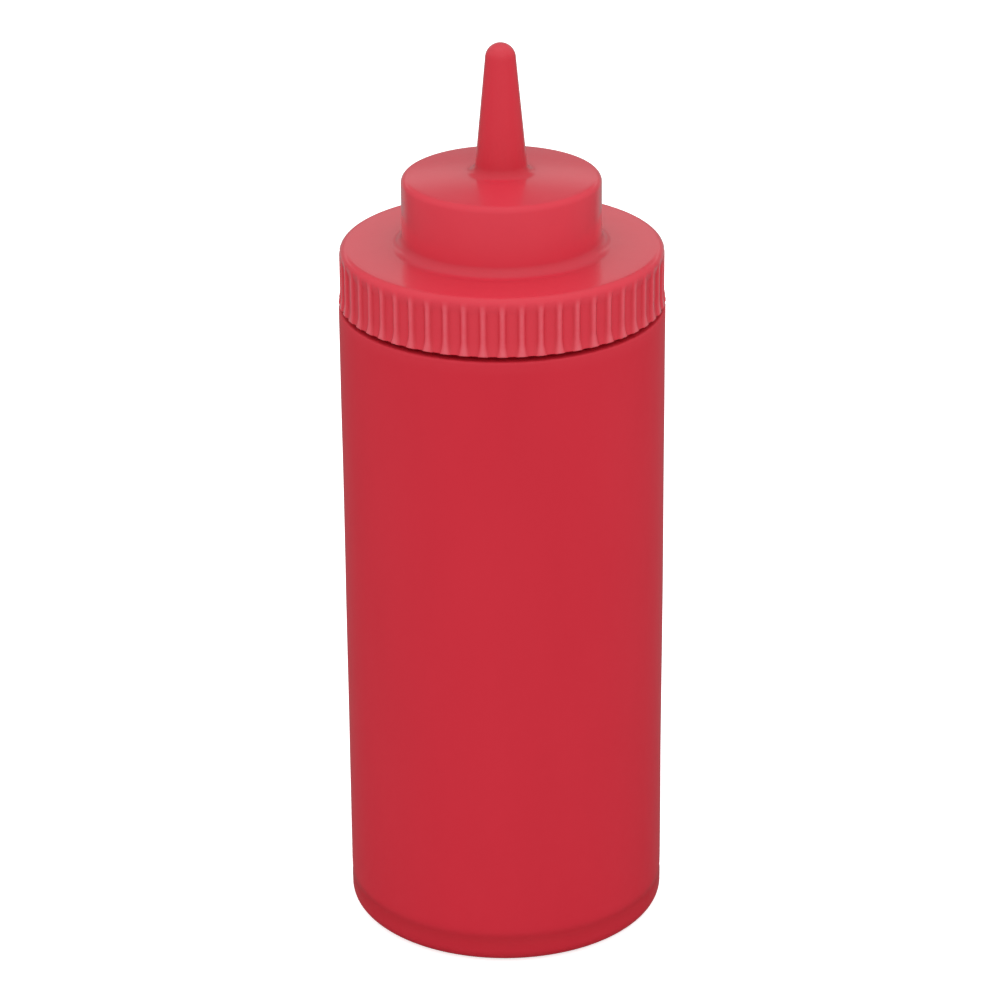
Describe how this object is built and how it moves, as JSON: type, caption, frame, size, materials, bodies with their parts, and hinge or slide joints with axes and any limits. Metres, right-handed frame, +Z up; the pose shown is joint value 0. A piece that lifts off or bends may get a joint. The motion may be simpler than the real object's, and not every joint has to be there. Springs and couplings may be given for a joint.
{
  "type": "squeeze bottle",
  "caption": "Red plastic squeeze bottle for sauce, with a straight round body and a screw cap with grip flutes and a closed cone nozzle.",
  "frame": {"origin": "centre of the base, on the surface that the bottle stands on", "axes": "+Z up along the bottle's axis, towards the nozzle's tip; the shape is the same all round"},
  "size_m": [0.0706, 0.0706, 0.2021],
  "materials": {
    "bottle": "satin red soft plastic, blow moulded",
    "cap": "satin red plastic, injection moulded, slightly lighter and pinker than the bottle"
  },
  "bodies": {
    "root": {"bottle": "bottle", "cap": "cap"}
  },
  "joints": []
}
